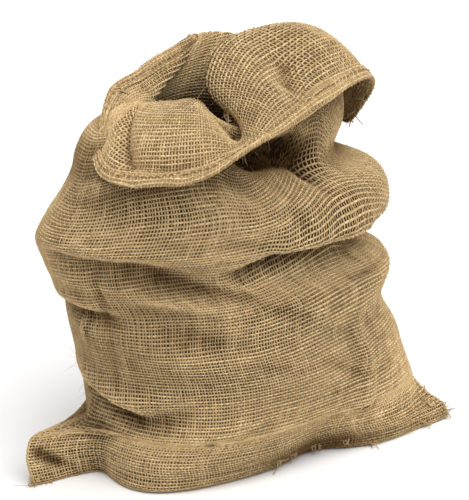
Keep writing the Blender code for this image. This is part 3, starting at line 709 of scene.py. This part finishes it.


def multiplied(nodes, links, colour, by):
    """The product of two colours."""
    product = nodes.new("ShaderNodeMix")
    product.data_type = "RGBA"
    product.blend_type = "MULTIPLY"
    product.inputs["Factor"].default_value = 1.0
    links.new(colour, product.inputs["A"])
    links.new(by, product.inputs["B"])
    return product.outputs["Result"]


def jute_material(name, base, streak_across, streak_along):
    """Spun jute: a matt, hairy yarn whose colour shifts from one yarn to the next and along each.
    The streaks say how finely it does so, over the whole width of the piece's yarns and along one."""
    material = bpy.data.materials.new(name)
    material.use_nodes = True
    nodes, links = material.node_tree.nodes, material.node_tree.links
    surface = nodes["Principled BSDF"]
    flat = nodes.new("ShaderNodeUVMap")
    flat.uv_map = "OFBake"
    scaled = nodes.new("ShaderNodeMapping")
    scaled.inputs["Scale"].default_value = (streak_across, streak_along, 1)
    links.new(flat.outputs["UV"], scaled.inputs["Vector"])
    per_yarn = nodes.new("ShaderNodeTexNoise")
    per_yarn.inputs["Scale"].default_value = 1.0
    per_yarn.inputs["Detail"].default_value = 2.0
    links.new(scaled.outputs["Vector"], per_yarn.inputs["Vector"])
    place = nodes.new("ShaderNodeTexCoord")
    patch = nodes.new("ShaderNodeTexNoise")
    patch.inputs["Scale"].default_value = PATCH_SCALE
    patch.inputs["Detail"].default_value = 3.0
    links.new(place.outputs["Object"], patch.inputs["Vector"])
    tone = nodes.new("ShaderNodeValToRGB")
    for element, position, shares in zip(tone.color_ramp.elements, STREAK_RANGE, (YARN_DARK, YARN_LIGHT)):
        element.position = position
        element.color = [*(part * share for part, share in zip(base, shares)), 1]
    links.new(per_yarn.outputs["Fac"], tone.inputs["Fac"])
    shift = nodes.new("ShaderNodeMapRange")
    shift.inputs["To Min"].default_value = PATCH_LIGHT[0]
    shift.inputs["To Max"].default_value = PATCH_LIGHT[1]
    links.new(patch.outputs["Fac"], shift.inputs["Value"])
    patched = multiplied(nodes, links, tone.outputs["Color"], shift.outputs["Result"])
    # painted shade: the colour is darkened in the weave's hollows and where shade falls
    depth = nodes.new("ShaderNodeAttribute")
    depth.attribute_name = "painted_shade"
    painted_shade_ramp = nodes.new("ShaderNodeValToRGB")
    painted_shade_ramp.color_ramp.elements[0].position = NO_PAINTED_SHADE
    painted_shade_ramp.color_ramp.elements[0].color = (1, 1, 1, 1)
    painted_shade_ramp.color_ramp.elements[1].color = PAINTED_SHADE_TONE
    links.new(depth.outputs["Fac"], painted_shade_ramp.inputs["Fac"])
    shaded_colour = multiplied(nodes, links, patched, painted_shade_ramp.outputs["Color"])
    links.new(shaded_colour, surface.inputs["Base Color"])
    surface.inputs["Roughness"].default_value = 0.88
    surface.inputs["Specular IOR Level"].default_value = 0.25
    return material


# The warp yarns are coloured darker than the weft yarns: painted shade, for warps that lie deeper in the
# gaps.
warp_jute = jute_material("warp_jute", (0.60, 0.43, 0.220), 107.0, 26.0)
weft_jute = jute_material("weft_jute", (0.68, 0.50, 0.262), 30.0, 56.0)
for piece in yarn_pieces:
    piece.data.materials.append(warp_jute if piece.name.startswith("warp") else weft_jute)


# ---- The hem's stitches ----
# One row of stitches in brown jute twine holds the turned edge down. Each shows as a short dash that
# dips into the cloth at both ends.

STITCH_STEP = 0.0048
STITCH_LONG = 0.0036
STITCH_ROW = 1.1  # how many rows inside the turned edge
STITCH_STRAY = 0.12  # how far, in rows, one stitch strays from the line
STITCH_RADIUS = 0.00048
STITCH_PROUD = 0.0013  # from the middle of the weave
STITCH_DIP = 0.7  # the share of that by which its ends dip
STITCH_RINGS = 5


def on_cloth(rows, columns):
    """The middle of the weave at fractional rows and columns, and the ways out, across and up there."""
    low = np.clip(np.floor(rows).astype(int), 0, ROWS_IN_ALL - 2)
    left = np.floor(columns).astype(int)
    down_share, side_share = (rows - low)[..., None], (columns - left)[..., None]
    left = left % WARP_YARNS
    found = []
    for field in (crossing, facing, weave_across, weave_up):
        lower = (1 - side_share) * field[low, left] + side_share * field[low, left + 1]
        upper = (1 - side_share) * field[low + 1, left] + side_share * field[low + 1, left + 1]
        found.append((1 - down_share) * lower + down_share * upper)
    return found


stitch_count = round(GIRTH / STITCH_STEP)
stitch_run = np.linspace(-1, 1, STITCH_RINGS)
stitch_columns = np.arange(stitch_count)[:, None] + 0.5 * STITCH_LONG / STITCH_STEP * stitch_run[None, :]
stitch_columns = stitch_columns / stitch_count * WARP_YARNS
stitch_rows = np.full(stitch_columns.shape, ROWS_IN_ALL - 1 - STITCH_ROW)
stitch_rows += STITCH_STRAY * np.random.default_rng(21).normal(size=(stitch_count, 1))
stitch_place, stitch_out, _, stitch_up = on_cloth(stitch_rows, stitch_columns)
stitch_height = STITCH_PROUD * (1 - STITCH_DIP * stitch_run**4)
stitch_place = stitch_place - stitch_height[None, :, None] * stitch_out
stitch_flat = np.stack(np.broadcast_arrays(
    (np.arange(stitch_count)[:, None] + 0.5) / stitch_count, np.linspace(0, 1, STITCH_RINGS)[None, :],
), axis=2)
hem_stitches = lay_yarns(
    "hem_stitches", stitch_place, stitch_up, stitch_out,
    np.full(stitch_columns.shape, STITCH_RADIUS), False, stitch_flat,
    np.array((UV_REACH / stitch_count, 0)), np.full(stitch_columns.shape, NO_PAINTED_SHADE),
)
hem_stitches.data.materials.append(jute_material("stitch_jute", (0.30, 0.195, 0.085), 90.0, 2.0))


# ---- The loose ends and fibres ----
# Yarns that have worked out of the bottom seam, the corners and the cuff's right end, a few hairs
# that hang from the hem over the pocket, and the fine fibres that stand off jute all over.

# A row for each tuft: the warp yarn and the weft row where it leaves the cloth, and on which face (1 is
# the outer one); how far its yarns are spread, in yarns; how many there are, and their size; and how
# far they head out of, across and up the cloth.
LOOSE_COLUMNS = ("column", "row", "side", "spread", "count", "length", "radius", "out", "across", "up")
BOTTOM_TUFTS = (
    (45, 10, 1, 1.0, 6, 0.004, 0.0007, 0.7, 0.0, -0.6),
    (89, 10, 1, 1.0, 9, 0.005, 0.0007, 0.7, 0.2, -0.6),
    (95, 10, 1, 1.0, 7, 0.004, 0.0007, 0.7, 0.0, -0.6),
    (106, 10, 1, 1.0, 9, 0.005, 0.0007, 0.7, -0.2, -0.6),
    (116, 10, 1, 1.0, 9, 0.005, 0.0007, 0.7, 0.0, -0.6),
    (125, 8, 1, 1.0, 9, 0.005, 0.0007, 0.7, 0.2, -0.4),
)
CORNER_ENDS = (
    (141, 11, 1, 2.0, 10, 0.005, 0.0007, 0.6, 0.3, -0.6),
    (148, 9, 1, 2.0, 10, 0.005, 0.0007, 0.6, 0.5, -0.5),
    (155, 14, 1, 3.0, 22, 0.005, 0.0008, 0.5, 0.4, 0.3),
    (159, 9, 1, 2.0, 18, 0.006, 0.0008, 0.7, 0.2, -0.1),
    (1, 9, 1, 2.0, 14, 0.005, 0.0008, 0.6, -0.2, -0.5),
    (4, 7, 1, 2.0, 8, 0.005, 0.0007, 0.5, 0.0, -0.7),
)
CUFF_ENDS = (
    (152, 161, 1, 2.0, 8, 0.004, 0.0007, 0.3, 0.0, 0.6),
    (157, 161, 1, 2.0, 14, 0.005, 0.0007, 0.3, 0.0, 0.6),
    (161, 161, 1, 1.5, 14, 0.005, 0.0007, 0.3, -0.2, 0.6),
)
HEM_HAIRS = (
    (96, 165, -1, 0.5, 2, 0.013, 0.00022, 0.1, 0.3, 0.9),
    (104, 165, -1, 0.5, 1, 0.014, 0.00022, 0.1, -0.3, 0.9),
    (111, 165, -1, 0.5, 2, 0.010, 0.00022, 0.1, 0.2, 0.9),
)
LOOSE_STRAY = 0.35  # how far they stray from that way
LOOSE_LENGTHS = (0.5, 1.3)  # the shortest and the longest, and the thinnest and the thickest
LOOSE_RADII = (0.6, 1.1)
LOOSE_CURL = 0.8  # how far a tip curls aside, for its length
LOOSE_RINGS = 7
FIBRES = 1600
FIBRE_FIRST_ROW = 12  # none grow under the sack
FIBRE_RISE = 0.3  # how far they stand up, at least and how much more
FIBRE_LENGTH = 0.0065
FIBRE_LENGTHS = (0.5, 1.4)
FIBRE_RADIUS = 0.00016
FIBRE_RADII = (0.7, 1.2)
FIBRE_CURL = 0.5
FIBRE_RINGS = 5


def loose_yarns(name, rows, columns, side, ways, lengths, radii, curl, rings, seed):
    """Short yarns or fibres that leave the cloth on one side and curl as they go, thinning to a tip.
    ways gives for each how far it heads out of, across and up the cloth."""
    chance = np.random.default_rng(seed)
    count = len(rows)
    root, out, across, upwards = on_cloth(rows, columns)
    way = ways[:, 0:1] * side[:, None] * out + ways[:, 1:2] * across + ways[:, 2:3] * upwards
    way /= np.linalg.norm(way, axis=1)[:, None]
    bend = chance.normal(size=(count, 3))
    bend -= (bend * way).sum(axis=1)[:, None] * way
    share = np.linspace(0, 1, rings)
    lie = (lengths[:, None] * share)[:, :, None] * way[:, None]
    lie = lie + (curl * lengths[:, None] * share**2)[:, :, None] * bend[:, None]
    place = root[:, None] + lie + (CRIMP * side)[:, None, None] * out[:, None]
    thick = radii[:, None] * (1 - 0.5 * share)
    place[:, :, 2] = np.maximum(place[:, :, 2], thick)
    lateral = np.cross(way, bend)
    lateral /= np.linalg.norm(lateral, axis=1)[:, None]
    normal = np.cross(lateral, way)
    flat = np.stack(np.broadcast_arrays((np.arange(count)[:, None] + 0.5) / count, share[None, :]), axis=2)
    return lay_yarns(
        name, place, np.repeat(lateral[:, None], rings, axis=1), np.repeat(normal[:, None], rings, axis=1),
        thick, False, flat, np.array((UV_REACH / count, 0)), np.full((count, rings), NO_PAINTED_SHADE),
    )


def tufts(name, table, seed):
    """The loose yarns of a table: a row for each tuft, with its place, and how its yarns leave it."""
    chance = np.random.default_rng(seed)
    counts = column(table, LOOSE_COLUMNS, "count")
    size = dict(zip(LOOSE_COLUMNS, np.repeat(np.array(table), counts, axis=0).T))
    count = len(size["row"])
    rows = size["row"] + 0.5 * size["spread"] * chance.normal(size=count)
    columns = size["column"] + size["spread"] * chance.normal(size=count)
    ways = np.stack((size["out"], size["across"], size["up"]), axis=1)
    ways = ways + LOOSE_STRAY * chance.normal(size=(count, 3))
    lengths = size["length"] * chance.uniform(*LOOSE_LENGTHS, count)
    radii = size["radius"] * chance.uniform(*LOOSE_RADII, count)
    return loose_yarns(
        name, rows, columns, size["side"], ways, lengths, radii, LOOSE_CURL, LOOSE_RINGS, seed + 1,
    )


loose_ends = [
    tufts("bottom_tufts", BOTTOM_TUFTS, 31),
    tufts("corner_ends", CORNER_ENDS, 33),
    tufts("cuff_ends", CUFF_ENDS, 35),
    tufts("hem_hairs", HEM_HAIRS, 37),
]
end_jute = jute_material("end_jute", (0.50, 0.35, 0.17), 60.0, 3.0)
for piece in loose_ends:
    piece.data.materials.append(end_jute)

fibre_chance = np.random.default_rng(41)
fibre_ways = fibre_chance.normal(size=(FIBRES, 3))
fibre_ways[:, 0] = FIBRE_RISE + FIBRE_RISE * np.abs(fibre_ways[:, 0])
fibre_rows = fibre_chance.uniform(FIBRE_FIRST_ROW, ROWS_IN_ALL - 2, FIBRES)
fibre_columns = fibre_chance.uniform(0, WARP_YARNS, FIBRES)
fibre_faces = fibre_chance.choice((-1.0, 1.0), FIBRES)
fibre_lengths = FIBRE_LENGTH * fibre_chance.uniform(*FIBRE_LENGTHS, FIBRES)
fibre_radii = FIBRE_RADIUS * fibre_chance.uniform(*FIBRE_RADII, FIBRES)
fibres = loose_yarns(
    "fibres", fibre_rows, fibre_columns, fibre_faces, fibre_ways, fibre_lengths, fibre_radii,
    FIBRE_CURL, FIBRE_RINGS, 43,
)
fibres.data.materials.append(jute_material("fibre_jute", (0.66, 0.52, 0.31), 200.0, 2.0))


# ---- The coil on the right bottom corner ----
# The end of a thick yarn has rolled itself up into a little flat coil, which lies on the cloth.

CURL_COLUMN = 155.0  # the warp yarn and the weft row on which it lies
CURL_ROW = 13.5
CURL_RADIUS = 0.0034  # where it starts, and where it ends inside
CURL_RADIUS_INSIDE = 0.0008
CURL_HEIGHT = 0.0020  # above the middle of the weave
CURL_YARN = 0.0008
CURL_TURNS = 2.2
CURL_RINGS = 48
CURL_PAINTED_SHADE = 0.2  # it gets no painted shade

curl_root, curl_out, curl_across, curl_up = on_cloth(np.array([CURL_ROW]), np.array([CURL_COLUMN]))
curl_turn = np.linspace(0, CURL_TURNS * 2 * np.pi, CURL_RINGS)
curl_spoke = np.cos(curl_turn)[:, None] * curl_across + np.sin(curl_turn)[:, None] * curl_up
curl_reach = np.linspace(CURL_RADIUS, CURL_RADIUS_INSIDE, CURL_RINGS)[:, None]
curl_place = curl_root + curl_reach * curl_spoke + CURL_HEIGHT * curl_out
curl_flat = np.stack((np.full(CURL_RINGS, 0.5), np.linspace(0, 1, CURL_RINGS)), axis=1)
corner_curl = lay_yarns(
    "corner_curl", curl_place[None], curl_spoke[None], np.repeat(curl_out[None], CURL_RINGS, axis=1),
    np.full((1, CURL_RINGS), CURL_YARN), False, curl_flat[None], np.array((UV_REACH, 0)),
    np.full((1, CURL_RINGS), CURL_PAINTED_SHADE),
)
corner_curl.data.materials.append(weft_jute)


# ---- Where the pieces go ----
# The yarns, the stitches and what hangs loose are attached to the same body as the cloth sheet, so they go
# where the cloth goes; the part's own cloth is hidden.

on_the_cloth = [*yarn_pieces, hem_stitches, *loose_ends, corner_curl, fibres]
for piece in on_the_cloth:
    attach(piece, "root")

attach(cloth_sheet, "root")
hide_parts("sack_cloth")


# ---- The floor, the light and the camera ----
# A pale studio floor that runs out of sight, one broad soft light from the front, high up, with white
# all round, and a camera with a long lens, a little to the left and above.

bpy.ops.mesh.primitive_plane_add(size=8)
floor = bpy.context.object
floor.name = "floor"
floor_paint = bpy.data.materials.new("floor_paint")
floor_paint.use_nodes = True
floor_surface = floor_paint.node_tree.nodes["Principled BSDF"]
floor_surface.inputs["Base Color"].default_value = (0.9, 0.9, 0.9, 1)
floor_surface.inputs["Roughness"].default_value = 0.9
floor.data.materials.append(floor_paint)

world = bpy.data.worlds.new("studio")
bpy.context.scene.world = world
world.use_nodes = True
world.node_tree.nodes["Background"].inputs["Color"].default_value = (1, 1, 1, 1)
world.node_tree.nodes["Background"].inputs["Strength"].default_value = 0.36

key = bpy.data.lights.new("key", "SUN")
key.energy = 3.5
key.angle = 1.2
key_lamp = bpy.data.objects.new("key", key)
bpy.context.collection.objects.link(key_lamp)
key_lamp.rotation_euler = Vector((-0.053, 0.33, -0.945)).to_track_quat("-Z", "Y").to_euler()

camera = bpy.data.cameras.new("camera")
eye = bpy.data.objects.new("camera", camera)
bpy.context.collection.objects.link(eye)
camera.sensor_width = 36
camera.lens = 158.4
camera.clip_end = 20
eye.location = (-0.7303, -1.4217, 0.7734)
eye.rotation_mode = "QUATERNION"
eye.rotation_quaternion = Vector((0.4296, 0.8288, -0.3584)).to_track_quat("-Z", "Y")
bpy.context.scene.camera = eye
bpy.context.scene.view_settings.view_transform = "Standard"
